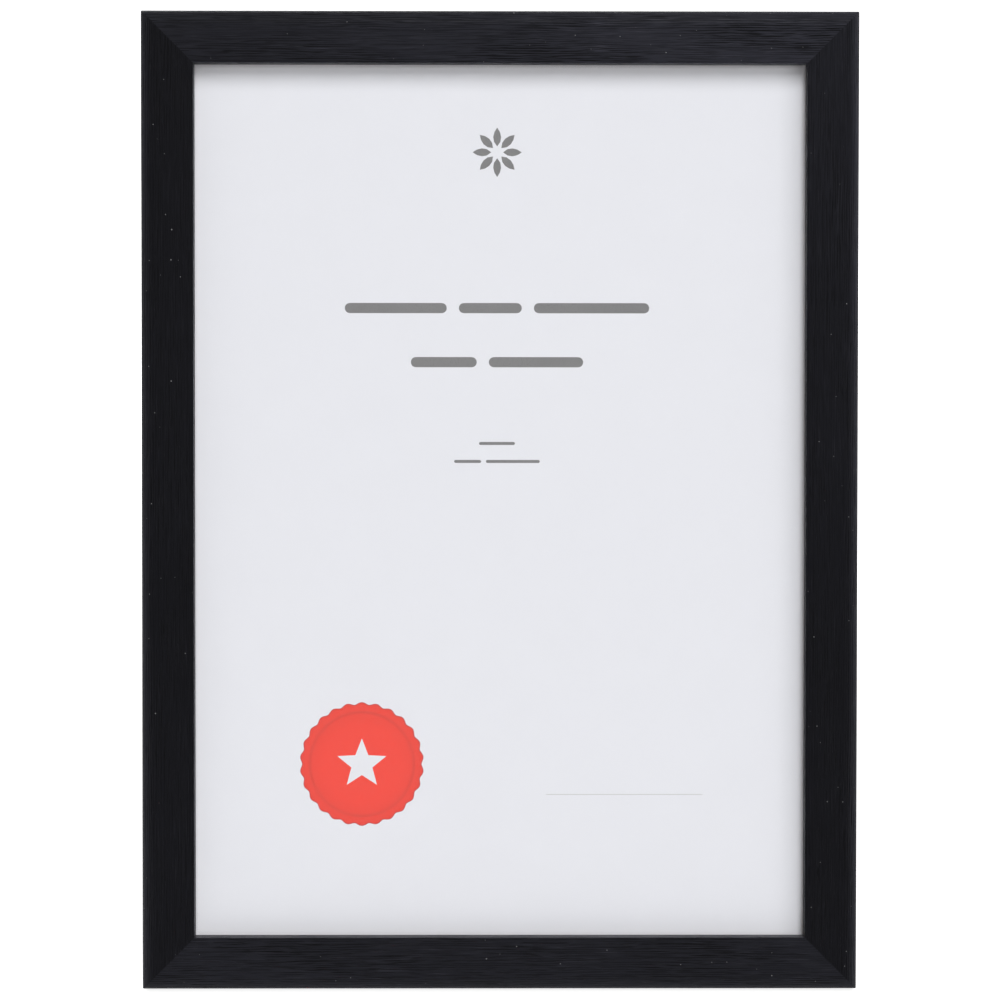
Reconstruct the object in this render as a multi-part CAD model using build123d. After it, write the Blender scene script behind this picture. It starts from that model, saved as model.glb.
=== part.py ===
from build123d import *
import math
import os

# An A4 certificate frame of mitred moulding that stands on its easel strut.
# Everything is drawn upright, front towards -Y, outer bottom edge at z = 0, and the
# finished pieces are then leaned back together until the frame stands on the table.

# Insert, glazing and backing
sheet_width = 210.0
sheet_height = 297.0
sheet_thickness = 0.3
glazing_thickness = 2.0
filler_thickness = 1.0
board_thickness = 3.0
rebate_clearance = 1.0
panel_clearance = 0.5

# Moulding
rail_width = 17.5
lip_overlap = 3.5
lip_thickness = 6.0
shoulder_radius = 3.0
crown_drop = 0.4
arris_radius = 0.4

# V nails across the mitres
nail_leg = 4.0
nail_thickness = 0.6
nail_depth = 7.0
nail_edge_margin = 2.0
nail_slot_clearance = 0.05

# Turn buttons and their screws
button_thickness = 1.2
button_eye_radius = 4.5
button_nose_radius = 2.6
button_reach = 14.0
button_gap = 0.1
button_spread_across = 60.0
button_spread_up = 85.0
shank_radius = 1.5
shank_clearance = 0.1
pilot_clearance = 0.05
screw_length = 10.0
screw_point = 2.5
screw_head_radius = 2.8
screw_head_height = 1.8
recess_width = 0.7
recess_span = 3.2
recess_depth = 1.0

# Rivets of the hinge and the hanger
rivet_radius = 1.5
rivet_head_radius = 3.0
rivet_head_height = 0.8
rivet_clench_radius = 2.4
rivet_clench_height = 0.6
rivet_bore_radius = 0.8
rivet_hole_clearance = 0.05
rivet_recess_clearance = 0.2

# Strut hinge
pin_radius = 1.5
pin_clearance = 0.05
pin_overhang = 0.5
pin_chamfer = 0.3
leaf_thickness = 0.8
leaf_width = 36.0
leaf_corner_radius = 3.0
board_leaf_height = 26.0
leaf_below_strap = 38.0
strut_leaf_height = 20.0
knuckle_span = 16.0
centre_knuckle_half = 6.9
knuckle_side_gap = 0.4
knuckle_board_gap = 0.35
hinge_clearance = 0.4
tongue_half = 5.0
stop_gap = 0.25
rivet_edge = 6.0

# Easel strut
lean_angle = 15.0
opening_angle = 27.0
strut_thickness = 2.5
strut_top_width = 46.0
strut_foot_width = 76.0
strut_corner_radius = 5.0

# Hanger
ring_wire_radius = 1.0
ring_wire_clearance = 0.1
ring_base_half = 10.5
ring_drop = 17.0
ring_bend_radius = 2.5
ring_joint_gap = 0.4
strap_thickness = 0.7
strap_width = 10.0
strap_length = 16.0
strap_rivet_drop = 10.0
strap_neck_angle = 60.0
hanger_from_top = 40.0

# One overrun for every cut
overrun = 2.0

# Sizes that follow
outer_width = sheet_width - 2 * lip_overlap + 2 * rail_width
outer_height = sheet_height - 2 * lip_overlap + 2 * rail_width
rebate_wall = rail_width - lip_overlap - rebate_clearance
glazing_back = lip_thickness + glazing_thickness
sheet_back = glazing_back + sheet_thickness
filler_back = sheet_back + filler_thickness
rail_depth = filler_back + board_thickness
panel_width = sheet_width + 2 * (rebate_clearance - panel_clearance)
panel_height = sheet_height + 2 * (rebate_clearance - panel_clearance)
screw_line = rebate_wall / 2
button_back = rail_depth + button_gap + button_thickness
screw_seat = button_back + button_gap
knuckle_radius = pin_radius + pin_clearance + leaf_thickness
pin_height = knuckle_radius + knuckle_board_gap
leaf_shoulder = knuckle_radius + hinge_clearance
leaf_inner = knuckle_radius - leaf_thickness
loop_radius = ring_wire_radius + ring_wire_clearance + strap_thickness
hanger_height = outer_height - hanger_from_top
pivot_height = hanger_height - strap_length - leaf_below_strap - board_leaf_height


def block(x_range, y_range, z_range):
    """A box between pairs of limits."""
    size = [high - low for low, high in (x_range, y_range, z_range)]
    middle = [(low + high) / 2 for low, high in (x_range, y_range, z_range)]
    return Pos(*middle) * Box(*size)


def round_bar(radius, x_range):
    """A cylinder along X."""
    low, high = x_range
    return Pos((low + high) / 2, 0, 0) * Rot(0, 90, 0) * Cylinder(radius, high - low)


def across(radius, y_range):
    """A cylinder along Y."""
    low, high = y_range
    return Pos(0, (low + high) / 2, 0) * Rot(90, 0, 0) * Cylinder(radius, high - low)


def slab(face, y_range):
    """A face drawn as (x, z), made solid between two depths."""
    low, high = y_range
    plane = Plane(origin=(0, low, 0), x_dir=(1, 0, 0), z_dir=(0, -1, 0))
    return extrude(plane * face, amount=low - high)


def side_bar(face, half_width):
    """A face drawn as (y, z), made solid to both sides of x = 0."""
    return extrude(Plane.YZ * face, amount=half_width, both=True)


def turned(shape, x, z, angle):
    """A shape drawn at the bottom edge, turned about Y and moved to another edge."""
    return Pos(x, 0, z) * Rot(0, angle, 0) * shape


def moulding_section():
    """The moulding's section as (depth, distance from the outer edge)."""
    bend = math.sqrt(0.5)
    shoulder = crown_drop + shoulder_radius
    face_end = rail_width - arris_radius
    crown_middle = (shoulder_radius + face_end) / 2
    arris = crown_drop + arris_radius
    outline = [
        Line((rail_depth, 0), (shoulder, 0)),
        ThreePointArc(
            (shoulder, 0),
            (shoulder - shoulder_radius * bend, shoulder_radius - shoulder_radius * bend),
            (crown_drop, shoulder_radius),
        ),
        ThreePointArc((crown_drop, shoulder_radius), (0, crown_middle), (crown_drop, face_end)),
        ThreePointArc(
            (crown_drop, face_end),
            (arris - arris_radius * bend, face_end + arris_radius * bend),
            (arris, rail_width),
        ),
        Line((arris, rail_width), (lip_thickness, rail_width)),
        Line((lip_thickness, rail_width), (lip_thickness, rebate_wall)),
        Line((lip_thickness, rebate_wall), (rail_depth, rebate_wall)),
        Line((rail_depth, rebate_wall), (rail_depth, 0)),
    ]
    return make_face(outline)


def nail_outline(corner, spare):
    """A V nail seen from the back, its point on the mitre, with spare room all round."""
    half = nail_thickness / 2 + spare
    end = corner - nail_leg - spare
    points = [
        (corner + half, corner + half),
        (end, corner + half),
        (end, corner - half),
        (corner - half, corner - half),
        (corner - half, end),
        (corner + half, end),
    ]
    return make_face(Polyline(*points, close=True))


def corner_nails(spare, back):
    """The two V nails of one corner, whose outer corner is at the origin."""
    front = rail_depth - nail_depth - spare
    places = (nail_edge_margin + nail_leg, rebate_wall - nail_edge_margin)
    return [slab(nail_outline(place, spare), (front, back)) for place in places]


def rail(length, screw_offset):
    """One mitred length along X with its outer edge at z = 0, its slots and pilot holes."""
    half = length / 2
    bar = side_bar(moulding_section(), half)
    inner = half - rail_width
    plan = make_face(Polyline((-half, 0), (half, 0), (inner, rail_width), (-inner, rail_width), close=True))
    bar = bar & slab(plan, (-overrun, rail_depth + overrun))
    for slot in corner_nails(nail_slot_clearance, rail_depth + overrun):
        bar = bar - Pos(-half, 0, 0) * slot
        bar = bar - Pos(half, 0, 0) * Rot(0, -90, 0) * slot
    pilot_bottom = screw_seat - screw_length - pilot_clearance
    for x in (-screw_offset, screw_offset):
        pilot = across(shank_radius + pilot_clearance, (pilot_bottom, rail_depth + overrun))
        bar = bar - Pos(x, 0, screw_line) * pilot
    return bar


def panel(width, height, front, back):
    """A flat sheet in the rebate, centred in the frame."""
    return block(
        (-width / 2, width / 2),
        (front, back),
        ((outer_height - height) / 2, (outer_height + height) / 2),
    )


def turn_button():
    """A flat button with its eye at the origin and its nose towards +Z."""
    reach = button_reach - button_nose_radius
    tilt = math.asin((button_eye_radius - button_nose_radius) / reach)
    side, rise = math.cos(tilt), math.sin(tilt)
    eye = (button_eye_radius * side, button_eye_radius * rise)
    nose = (button_nose_radius * side, reach + button_nose_radius * rise)
    outline = [
        Line(eye, nose),
        ThreePointArc(nose, (0, button_reach), (-nose[0], nose[1])),
        Line((-nose[0], nose[1]), (-eye[0], eye[1])),
        ThreePointArc((-eye[0], eye[1]), (0, -button_eye_radius), eye),
    ]
    face = make_face(outline) - Circle(shank_radius + shank_clearance)
    return slab(face, (rail_depth + button_gap, button_back))


def dome(rim_radius, rim, top):
    """An arc from a round head's rim to its top on the axis, part of a circle centred there."""
    radius = (rim_radius**2 + (top - rim) ** 2) / (2 * (top - rim))
    half = math.asin(rim_radius / radius) / 2
    middle = (radius * math.sin(half), top - radius + radius * math.cos(half))
    return ThreePointArc((rim_radius, rim), middle, (0, top))


def screw():
    """A pan-head wood screw along Y, without its thread, with a cross recess."""
    point = screw_seat - screw_length
    top = screw_seat + screw_head_height
    rim = screw_seat + screw_head_height / 3
    outline = [
        Line((0, point), (shank_radius, point + screw_point)),
        Line((shank_radius, point + screw_point), (shank_radius, screw_seat)),
        Line((shank_radius, screw_seat), (screw_head_radius, screw_seat)),
        Line((screw_head_radius, screw_seat), (screw_head_radius, rim)),
        dome(screw_head_radius, rim, top),
        Line((0, top), (0, point)),
    ]
    body = revolve(make_face(outline), Axis.Y)
    for wide, tall in ((recess_span, recess_width), (recess_width, recess_span)):
        body = body - block(
            (-wide / 2, wide / 2),
            (top - recess_depth, top + overrun),
            (-tall / 2, tall / 2),
        )
    return body


def rivet(seat, grip):
    """A tubular rivet along Y: its head lies on seat, and it grips what lies below."""
    head = seat + rivet_head_height
    end = seat - grip
    outline = [
        Line((rivet_bore_radius, end), (rivet_clench_radius, end)),
        Line((rivet_clench_radius, end), (rivet_clench_radius, end + rivet_clench_height)),
        Line((rivet_clench_radius, end + rivet_clench_height), (rivet_radius, end + rivet_clench_height)),
        Line((rivet_radius, end + rivet_clench_height), (rivet_radius, seat)),
        Line((rivet_radius, seat), (rivet_head_radius, seat)),
        dome(rivet_head_radius, seat, head),
        Line((0, head), (0, seat)),
        Line((0, seat), (rivet_bore_radius, seat)),
        Line((rivet_bore_radius, seat), (rivet_bore_radius, end)),
    ]
    return revolve(make_face(outline), Axis.Y)


def rivet_hole(y_range):
    """The hole that a rivet's shank passes through."""
    return across(rivet_radius + rivet_hole_clearance, y_range)


def board_rivet_places():
    """Where rivets pass through the backing board, as (x, z, thickness under the head)."""
    side = leaf_width / 2 - rivet_edge
    low = pivot_height + rivet_edge + knuckle_radius
    high = pivot_height + board_leaf_height - rivet_edge
    leaf = [(x, z, leaf_thickness) for x in (-side, side) for z in (low, high)]
    return leaf, (0, hanger_height - strap_rivet_drop, 2 * strap_thickness)


def backing_board():
    """The board with its rivet holes, each sunk at the front for the rivet's clench."""
    board = panel(panel_width, panel_height, filler_back, rail_depth)
    leaf, hanger = board_rivet_places()
    recess = rivet_clench_radius + rivet_recess_clearance
    for x, z, _ in leaf + [hanger]:
        hole = rivet_hole((filler_back - overrun, rail_depth + overrun))
        sink = across(recess, (filler_back - overrun, filler_back + rivet_clench_height))
        board = board - Pos(x, 0, z) * hole - Pos(x, 0, z) * sink
    return board


def board_rivet(x, z, under_head):
    """A rivet through the board, flush with the board's front."""
    return Pos(x, 0, z) * rivet(rail_depth + under_head, board_thickness + under_head)


def leaf_plate(front, low, high):
    """A flat hinge plate with rounded corners, drawn in the hinge's own frame."""
    middle = (low + high) / 2
    outline = Pos(0, middle) * RectangleRounded(leaf_width, high - low, leaf_corner_radius)
    return slab(outline, (front, front + leaf_thickness))


def board_leaf():
    """The leaf on the board, with a knuckle at each side. The pin is at the origin."""
    front = -pin_height
    leaf = leaf_plate(front, 0, board_leaf_height)
    inner = centre_knuckle_half + knuckle_side_gap
    leaf = leaf - block((-inner, inner), (front - overrun, overrun), (-overrun, knuckle_radius))
    for low, high in ((-knuckle_span, -inner), (inner, knuckle_span)):
        leaf = leaf + round_bar(knuckle_radius, (low, high))
    leaf = leaf - round_bar(pin_radius + pin_clearance, (-leaf_width, leaf_width))
    for x, z, _ in board_rivet_places()[0]:
        leaf = leaf - Pos(x, 0, z - pivot_height) * rivet_hole((front - overrun, overrun))
    return leaf


def strut_leaf_rivet_places():
    """Where the strut's two rivets are, in the hinge's own frame."""
    side = leaf_width / 2 - rivet_edge
    return [(x, -strut_leaf_height + rivet_edge) for x in (-side, side)]


def strut_leaf():
    """The leaf on the strut, closed: a centre knuckle and the tongue that stops it."""
    leaf = leaf_plate(leaf_inner, -strut_leaf_height, -leaf_shoulder)
    half = centre_knuckle_half
    leaf = leaf + block((-half, half), (leaf_inner, knuckle_radius), (-strut_leaf_height / 2, 0))
    leaf = leaf + round_bar(knuckle_radius, (-half, half))
    angle = math.radians(opening_angle)
    landing = pin_height - leaf_thickness - stop_gap
    tongue = (landing + leaf_inner * math.cos(angle)) / math.sin(angle)
    leaf = leaf + block((-tongue_half, tongue_half), (leaf_inner, knuckle_radius), (0, tongue))
    leaf = leaf - round_bar(pin_radius + pin_clearance, (-leaf_width, leaf_width))
    for x, z in strut_leaf_rivet_places():
        leaf = leaf - Pos(x, 0, z) * rivet_hole((leaf_inner - overrun, knuckle_radius + overrun))
    return leaf


def strut_end(y):
    """The height below the pin at which the closed strut is cut, so that it stands flat."""
    lean = math.radians(lean_angle)
    rake = math.radians(opening_angle - lean_angle)
    drop = (pivot_height * math.cos(lean) - pin_height * math.sin(lean)) / math.cos(rake)
    return -drop - y * math.tan(rake)


def strut_board():
    """The easel leg, closed, in the hinge's own frame."""
    inner = leaf_inner - strut_thickness
    side = Polyline(
        (inner, -leaf_shoulder),
        (leaf_inner, -leaf_shoulder),
        (leaf_inner, strut_end(leaf_inner)),
        (inner, strut_end(inner)),
        close=True,
    )
    foot = strut_end(leaf_inner) - overrun
    top_half = strut_top_width / 2
    foot_half = strut_foot_width / 2
    plan = make_face(
        Polyline(
            (-foot_half, foot),
            (foot_half, foot),
            (top_half, -leaf_shoulder),
            (-top_half, -leaf_shoulder),
            close=True,
        )
    )
    top_corners = plan.vertices().sort_by(Axis.Y)[-2:]
    plan = fillet(top_corners, strut_corner_radius)
    leg = side_bar(make_face(side), strut_foot_width)
    leg = leg & slab(plan, (inner - overrun, leaf_inner + overrun))
    for x, z in strut_leaf_rivet_places():
        leg = leg - Pos(x, 0, z) * rivet_hole((inner - overrun, leaf_inner + overrun))
    return leg


def strut_rivet(x, z):
    """A rivet of the strut, whose clench stands on the leg's inner face."""
    grip = leaf_thickness + strut_thickness + rivet_clench_height
    return Pos(x, 0, z) * rivet(knuckle_radius, grip)


def hinge_pin():
    """The pin, a little longer than the knuckles, with eased ends."""
    reach = knuckle_span + pin_overhang
    pin = round_bar(pin_radius, (-reach, reach))
    return chamfer(pin.edges().filter_by(GeomType.CIRCLE), pin_chamfer)


def hanger_strap():
    """A strip folded round the ring's wire, riveted through both layers, wire at the origin."""
    neck = math.radians(strap_neck_angle)
    top = -loop_radius + 2 * strap_thickness
    shoulder = (loop_radius * math.cos(neck), -loop_radius * math.sin(neck))
    neck_end = shoulder[1] - (shoulder[0] - top) / math.tan(neck)
    layers = Polyline(
        (-loop_radius, 0),
        (-loop_radius, -strap_length),
        (top, -strap_length),
        (top, neck_end),
        shoulder,
        (0, 0),
        close=True,
    )
    section = make_face(layers) + Circle(loop_radius)
    section = section - Circle(ring_wire_radius + ring_wire_clearance)
    strap = side_bar(section, strap_width / 2)
    hole = rivet_hole((-loop_radius - overrun, loop_radius + overrun))
    return strap - Pos(0, 0, -strap_rivet_drop) * hole


def hanger_ring():
    """A wire triangle that points down, its ends meeting inside the strap's loop."""
    start = ring_joint_gap / 2
    path = FilletPolyline(
        (-start, 0, 0),
        (-ring_base_half, 0, 0),
        (0, 0, -ring_drop),
        (ring_base_half, 0, 0),
        (start, 0, 0),
        radius=ring_bend_radius,
    )
    section = Plane(origin=(-start, 0, 0), z_dir=(-1, 0, 0)) * Circle(ring_wire_radius)
    return sweep(section, path=path)


def upright_frame():
    """The rails, nails, panels, board and its fixings, upright."""
    middle = outer_height / 2
    side = outer_width / 2
    across_rail = rail(outer_width, button_spread_across)
    up_rail = rail(outer_height, button_spread_up)
    nails = Compound(corner_nails(0, rail_depth))
    leaf_places, hanger_place = board_rivet_places()
    hinge = Pos(0, rail_depth + pin_height, pivot_height)
    hanger = Pos(0, rail_depth + loop_radius, hanger_height)
    return {
        "bottom_rail": across_rail,
        "top_rail": turned(across_rail, 0, outer_height, 180),
        "left_rail": turned(up_rail, -side, middle, 90),
        "right_rail": turned(up_rail, side, middle, -90),
        "corner_nails_bottom_left": turned(nails, -side, 0, 0),
        "corner_nails_bottom_right": turned(nails, side, 0, -90),
        "corner_nails_top_left": turned(nails, -side, outer_height, 90),
        "corner_nails_top_right": turned(nails, side, outer_height, 180),
        "glazing": panel(panel_width, panel_height, lip_thickness, glazing_back),
        "certificate_sheet": panel(sheet_width, sheet_height, glazing_back, sheet_back),
        "filler_card": panel(panel_width, panel_height, sheet_back, filler_back),
        "backing_board": backing_board(),
        "board_leaf": hinge * board_leaf(),
        "board_leaf_rivets": Compound([board_rivet(*place) for place in leaf_places]),
        "hinge_pin": hinge * hinge_pin(),
        "hanger_strap": hanger * hanger_strap(),
        "hanger_rivet": board_rivet(*hanger_place),
        "hanger_ring": hanger * Rot(lean_angle, 0, 0) * hanger_ring(),
    }


def button_places():
    """Name, x, z and turn of each turn button's screw."""
    near = screw_line
    side = outer_width / 2 - near
    top = outer_height - near
    left_x, right_x = -button_spread_across, button_spread_across
    low_z = outer_height / 2 - button_spread_up
    high_z = outer_height / 2 + button_spread_up
    return [
        ("bottom_left", left_x, near, 0),
        ("bottom_right", right_x, near, 0),
        ("top_left", left_x, top, 180),
        ("top_right", right_x, top, 180),
        ("left_lower", -side, low_z, 90),
        ("left_upper", -side, high_z, 90),
        ("right_lower", side, low_z, -90),
        ("right_upper", side, high_z, -90),
    ]


def upright_buttons():
    """The turn buttons in their holding places, and their screws as one group."""
    pieces = {}
    screws = []
    for name, x, z, angle in button_places():
        pieces["turn_button_" + name] = turned(turn_button(), x, z, angle)
        screws.append(turned(screw(), x, z, angle))
    pieces["turn_button_screws"] = Compound(screws)
    return pieces


def open_strut():
    """The strut with its leaf and rivets, swung out to its stop."""
    swing = Pos(0, rail_depth + pin_height, pivot_height) * Rot(opening_angle, 0, 0)
    rivets = Compound([strut_rivet(x, z) for x, z in strut_leaf_rivet_places()])
    return {
        "strut_board": swing * strut_board(),
        "strut_leaf": swing * strut_leaf(),
        "strut_leaf_rivets": swing * rivets,
    }


def standing(pieces):
    """All pieces leaned back, on z = 0, with the whole centred over the origin."""
    lean = Rot(-lean_angle, 0, 0)
    leaned = {name: lean * shape for name, shape in pieces.items()}
    boxes = [shape.bounding_box() for shape in leaned.values()]
    low = min(box.min.Z for box in boxes)
    front = min(box.min.Y for box in boxes)
    back = max(box.max.Y for box in boxes)
    place = Pos(0, -(front + back) / 2, -low)
    return {name: place * shape for name, shape in leaned.items()}


def main():
    """Writes one STEP file for each piece."""
    os.makedirs("parts", exist_ok=True)
    pieces = {**upright_frame(), **upright_buttons(), **open_strut()}
    for name, shape in standing(pieces).items():
        export_step(shape, "parts/" + name + ".step")


main()
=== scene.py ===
import math

import bmesh
import bpy
from bpy.props import FloatProperty, FloatVectorProperty, IntProperty, PointerProperty
from mathutils import Matrix, Vector
from mathutils.geometry import delaunay_2d_cdt


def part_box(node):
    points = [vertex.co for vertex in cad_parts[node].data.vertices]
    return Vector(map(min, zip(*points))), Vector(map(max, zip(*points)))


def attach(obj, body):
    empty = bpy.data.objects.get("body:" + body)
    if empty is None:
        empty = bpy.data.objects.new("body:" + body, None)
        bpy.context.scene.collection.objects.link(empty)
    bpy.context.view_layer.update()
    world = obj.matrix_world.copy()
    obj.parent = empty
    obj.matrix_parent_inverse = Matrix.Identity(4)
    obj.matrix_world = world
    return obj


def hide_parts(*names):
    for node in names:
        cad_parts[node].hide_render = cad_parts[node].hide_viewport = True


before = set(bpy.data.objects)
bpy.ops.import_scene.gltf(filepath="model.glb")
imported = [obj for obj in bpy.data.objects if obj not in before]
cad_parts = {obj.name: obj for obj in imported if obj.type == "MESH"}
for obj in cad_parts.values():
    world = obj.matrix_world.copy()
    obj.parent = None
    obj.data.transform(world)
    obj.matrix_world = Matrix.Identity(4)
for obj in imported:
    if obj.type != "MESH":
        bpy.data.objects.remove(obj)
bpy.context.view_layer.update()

bl_info = {
    "name": "Certificate Frame",
    "version": (1, 0, 0),
    "blender": (4, 5, 0),
    "location": "3D View > Sidebar > Certificate Frame",
    "description": "Mitred certificate frame with glazing, insert, easel back and hanger",
    "category": "Object",
}

MM = 0.001

# Lean of the standing frame and the strut's opening, in degrees
LEAN = 15.0
OPENING = 27.0

# Depths from the front, upright; the first is where the outline seen from the front lies
OUTLINE_DEPTH = 3.4 * MM
LIP_BACK = 6.0 * MM
GLASS_BACK = 8.0 * MM
SHEET_BACK = 8.3 * MM
RAIL_BACK = 12.3 * MM

# Plan
OUTER_WIDTH = 238.0 * MM
OUTER_HEIGHT = 325.0 * MM
RAIL_WIDTH = 17.5 * MM
REBATE_WALL = 13.0 * MM
PANEL_WIDTH = 211.0 * MM
PANEL_HEIGHT = 298.0 * MM
SHEET_WIDTH = 210.0 * MM
SHEET_HEIGHT = 297.0 * MM

# How far apart two rails' grains start on the long moulding that they are cut from
CUT_STEP = 400.0 * MM

# Nails in the mitres, and how far the corners of a pair are from the outer edges
NAIL_CORNERS = 6.0 * MM, 11.0 * MM
NAIL_LEG = 4.0 * MM
NAIL_HALF = 0.3 * MM
NAIL_DEPTH = 7.0 * MM
SLOT_SPARE = 0.05 * MM

# Turn buttons and their screws
SCREW_LINE = 6.5 * MM
BUTTON_ACROSS = 60.0 * MM
BUTTON_UP = 85.0 * MM
BUTTON_FRONT = RAIL_BACK + 0.1 * MM
BUTTON_THICKNESS = 1.2 * MM
BUTTON_HOLE = 1.6 * MM
SCREW_SEAT = BUTTON_FRONT + BUTTON_THICKNESS + 0.1 * MM
SCREW_LENGTH = 10.0 * MM
SCREW_SHANK = 1.5 * MM
SCREW_HEAD = 2.8 * MM
SCREW_RISE = 1.8 * MM
PILOT_RADIUS = 1.55 * MM
PILOT_FRONT = 3.65 * MM

# Hinge and hanger
LEAF_THICKNESS = 0.8 * MM
STRAP_SEAT = 1.4 * MM
PIVOT_HEIGHT = 205.0 * MM
PIN_STANDOFF = 2.7 * MM
PIN_RADIUS = 1.5 * MM
PIN_REACH = 16.5 * MM
RIVET_ACROSS = 12.0 * MM
HANGER_HEIGHT = 285.0 * MM
LOOP_RADIUS = 1.8 * MM
WIRE_RADIUS = 1.0 * MM

# Print, from the sheet's middle
SEAL_CENTRE = (-46.1 * MM, -87.92 * MM)
PRINT_SHIFT = -1.0 * MM
PETAL_SHARE = 0.16

# The picture, and how far its middle is above the frame's
PICTURE_PIXELS = 1000
PICTURE_RISE = 0.54 * MM

# A corner sharper than this, as its edges' summed normals squared, is moved less far than its sides
SHARP_CORNER = 0.4


# Properties

def as_number(name, description, default, **more):
    """A number property."""
    return FloatProperty(name=name, description=description, default=default, **more)


def as_length(name, description, default):
    """A length property, given in millimetres."""
    return as_number(name, description, default * MM, unit="LENGTH")


def as_colour(name, description, *default):
    """A colour property."""
    return FloatVectorProperty(name=name, description=description, default=default, subtype="COLOR")


class FrameSizes(bpy.types.PropertyGroup):
    """Sizes of the dressed pieces that can be changed without moving them"""

    shoulder_width: as_length("Shoulder width", "How far the outer edge rounds over the face", 5.1)
    shoulder_depth: as_length("Shoulder depth", "How far down the outer side the rounding goes", 3.4)
    inner_drop: as_length("Inner drop", "How much lower the face is at the sight edge", 0.25)
    arris: as_length("Arris", "Rounding of the sight edge", 0.35)
    mitre_groove: as_length("Mitre groove", "Depth of the fine line where two rails meet", 0.05)
    corner_round: as_length("Corner rounding", "Rounding of the frame's outer corners", 0.35)
    foil_return: as_length("Foil return", "How far the foil goes round onto the rails' back", 4.0)
    grain_pitch: as_length("Grain pitch", "Distance between the raised lines of the foil", 0.78)
    metal_ease: as_length("Metal edge", "Rounding of stamped metal edges", 0.16)
    seal_radius: as_length("Seal radius", "Radius of the printed seal over its scallops", 20.75)
    seal_scallops: IntProperty(
        name="Seal scallops", description="Number of scallops round the seal", default=26, min=8)


class FrameColours(bpy.types.PropertyGroup):
    """Colours of the finishes"""

    foil: as_colour("Foil", "Black foil of the moulding", 0.0135, 0.0137, 0.0182)
    # Lighter tops of the foil's raised lines: wear with a painted highlight
    foil_crest_highlight: as_colour("Foil ridges", "Worn tops of the foil's raised lines, with a painted highlight", 0.034, 0.0335, 0.043)
    dust: as_colour("Dust", "Specks on the foil", 0.22, 0.22, 0.225)
    core: as_colour("Moulding core", "Raw board under the foil", 0.38, 0.25, 0.145)
    paper: as_colour("Paper", "White card of the insert", 0.785, 0.785, 0.832)
    ink: as_colour("Ink", "Grey print of the insert", 0.15, 0.147, 0.15)
    fine_ink: as_colour("Fine ink", "Pale grey of the signing line", 0.56, 0.56, 0.57)
    seal: as_colour("Seal", "Red in the middle of the seal", 0.87, 0.033, 0.012)
    seal_ring: as_colour("Seal ring", "Darker red round the seal's middle", 0.72, 0.028, 0.012)
    seal_edge: as_colour("Seal edge", "Dark line along the seal's scallops", 0.46, 0.02, 0.022)
    glass: as_colour("Glass", "Clear pane", 0.99, 0.993, 0.992)
    hardboard: as_colour("Hardboard", "Smooth face of the back and the strut", 0.235, 0.135, 0.072)
    card: as_colour("Card", "Grey card behind the insert", 0.5, 0.46, 0.4)
    zinc: as_colour("Zinc plate", "Hinge leaves, strap and turn buttons", 0.43, 0.435, 0.435)
    bright: as_colour("Bright steel", "Pin, ring, rivets and screws", 0.52, 0.52, 0.515)
    nail: as_colour("Plain steel", "Nails in the mitres", 0.44, 0.44, 0.45)


class StudioValues(bpy.types.PropertyGroup):
    """Camera and light"""

    distance: as_length("Camera distance", "From the camera to the frame's face", 1000)
    focal_pixels: as_number("Focal length in pixels", "For a picture of 1000 by 1000", 3008.0)
    pitch: as_number("Pitch", "Camera above the face's normal", math.radians(1.408), subtype="ANGLE")
    yaw: as_number("Yaw", "Camera right of the face's normal", math.radians(-0.404), subtype="ANGLE")
    roll: as_number("Roll", "Turn of the picture", math.radians(0.042), subtype="ANGLE")
    upper_distance: as_length("Upper light distance", "From the frame to the softbox above", 11000)
    side_distance: as_length("Side light distance", "From the frame to the softbox on the right", 5500)
    upper_light: as_number("Upper light", "Watts of the softbox above", 1203.0)
    side_light: as_number("Side light", "Watts of the softbox on the right", 109.0)
    back_light: as_number("Back light", "Watts of the softbox behind", 12.0)
    fill: as_number("Fill", "Strength of the room's light", 0.11)


# Places

def standing_matrix():
    """From upright, front towards -Y and bottom edge at height zero, to the standing frame."""
    lean = Matrix.Rotation(math.radians(-LEAN), 4, "X")
    near = LIP_BACK, (OUTER_HEIGHT - PANEL_HEIGHT) / 2
    far = GLASS_BACK, (OUTER_HEIGHT + PANEL_HEIGHT) / 2
    corners = [lean @ Vector((0, y, z)) for y in (near[0], far[0]) for z in (near[1], far[1])]
    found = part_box("glazing")[0]
    shift = Vector((0, found.y - min(c.y for c in corners), found.z - min(c.z for c in corners)))
    return Matrix.Translation(shift) @ lean


STANDING = standing_matrix()


def moved(x, y, z):
    """A shift, in upright coordinates."""
    return Matrix.Translation((x, y, z))


def turned(x, z, degrees):
    """A turn about the depth axis, then a move in the plane of the frame."""
    return moved(x, 0, z) @ Matrix.Rotation(math.radians(degrees), 4, "Y")


def rail_places():
    """Name, length, distance of the screws from the middle and place of each rail.

    A rail is drawn as the bottom one.
    """
    side, middle = OUTER_WIDTH / 2, OUTER_HEIGHT / 2
    return [
        ("bottom_rail", OUTER_WIDTH, BUTTON_ACROSS, turned(0, 0, 0)),
        ("top_rail", OUTER_WIDTH, BUTTON_ACROSS, turned(0, OUTER_HEIGHT, 180)),
        ("left_rail", OUTER_HEIGHT, BUTTON_UP, turned(-side, middle, 90)),
        ("right_rail", OUTER_HEIGHT, BUTTON_UP, turned(side, middle, -90)),
    ]


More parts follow.
